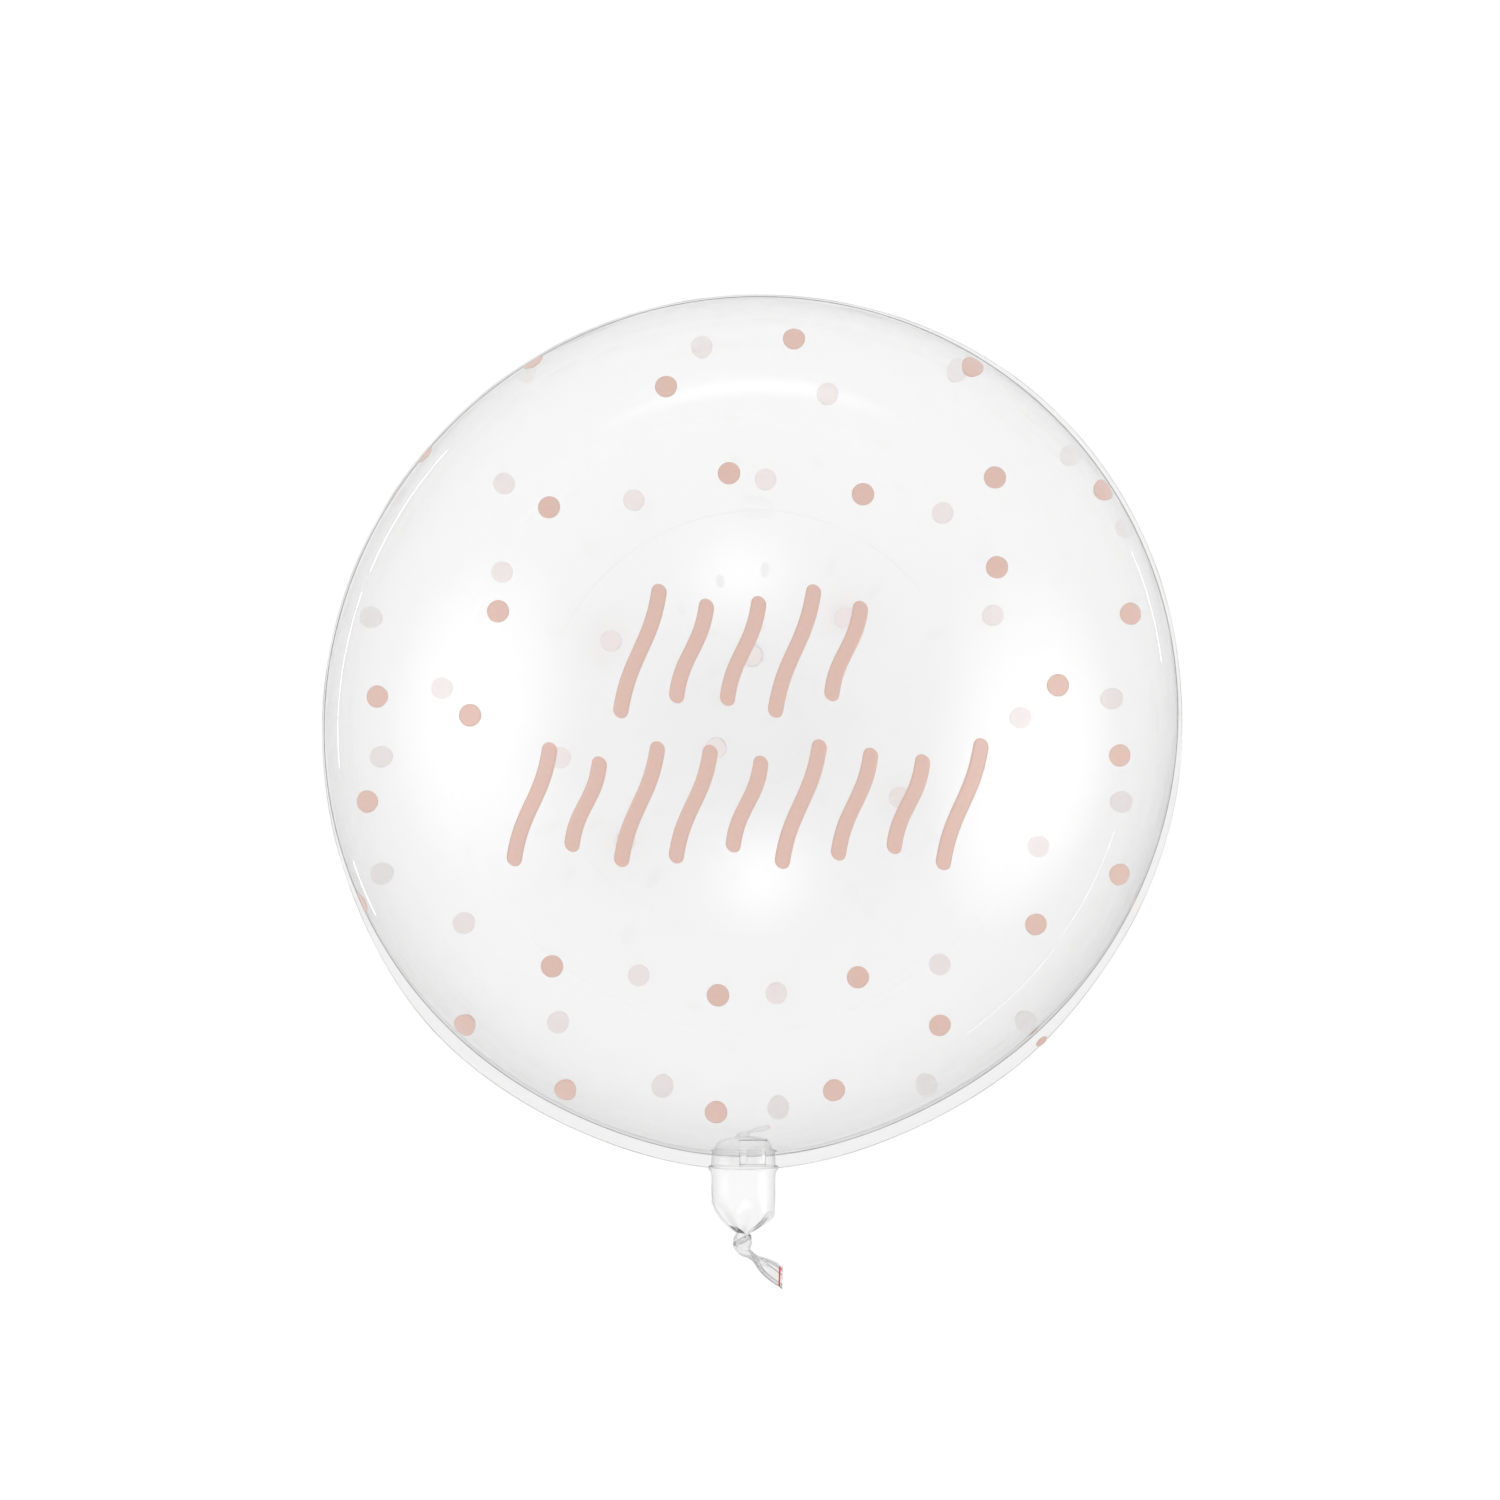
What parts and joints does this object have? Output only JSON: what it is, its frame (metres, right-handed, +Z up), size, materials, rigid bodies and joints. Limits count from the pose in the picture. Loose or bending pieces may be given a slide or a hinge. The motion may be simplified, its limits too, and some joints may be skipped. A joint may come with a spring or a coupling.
{
  "type": "bubble balloon",
  "caption": "Clear round bubble balloon with a polka-dot print, knotted at its neck, lying on its back.",
  "frame": {"origin": "middle of the small flat spot under the ball that it rests on", "axes": "+Z up, out of the printed side; the neck and its tail point to -Y; +X to the right of the print"},
  "size_m": [0.4048, 0.4657, 0.3977],
  "materials": {
    "clear_film": "clear stretched plastic film, high gloss",
    "blush_ink": "satin blush-pink print",
    "pale_ink": "pale underprint, as the dots look from inside",
    "red_ink": "thin red print on the tail's cut end"
  },
  "bodies": {
    "root": {"balloon": "clear_film"}
  },
  "joints": []
}
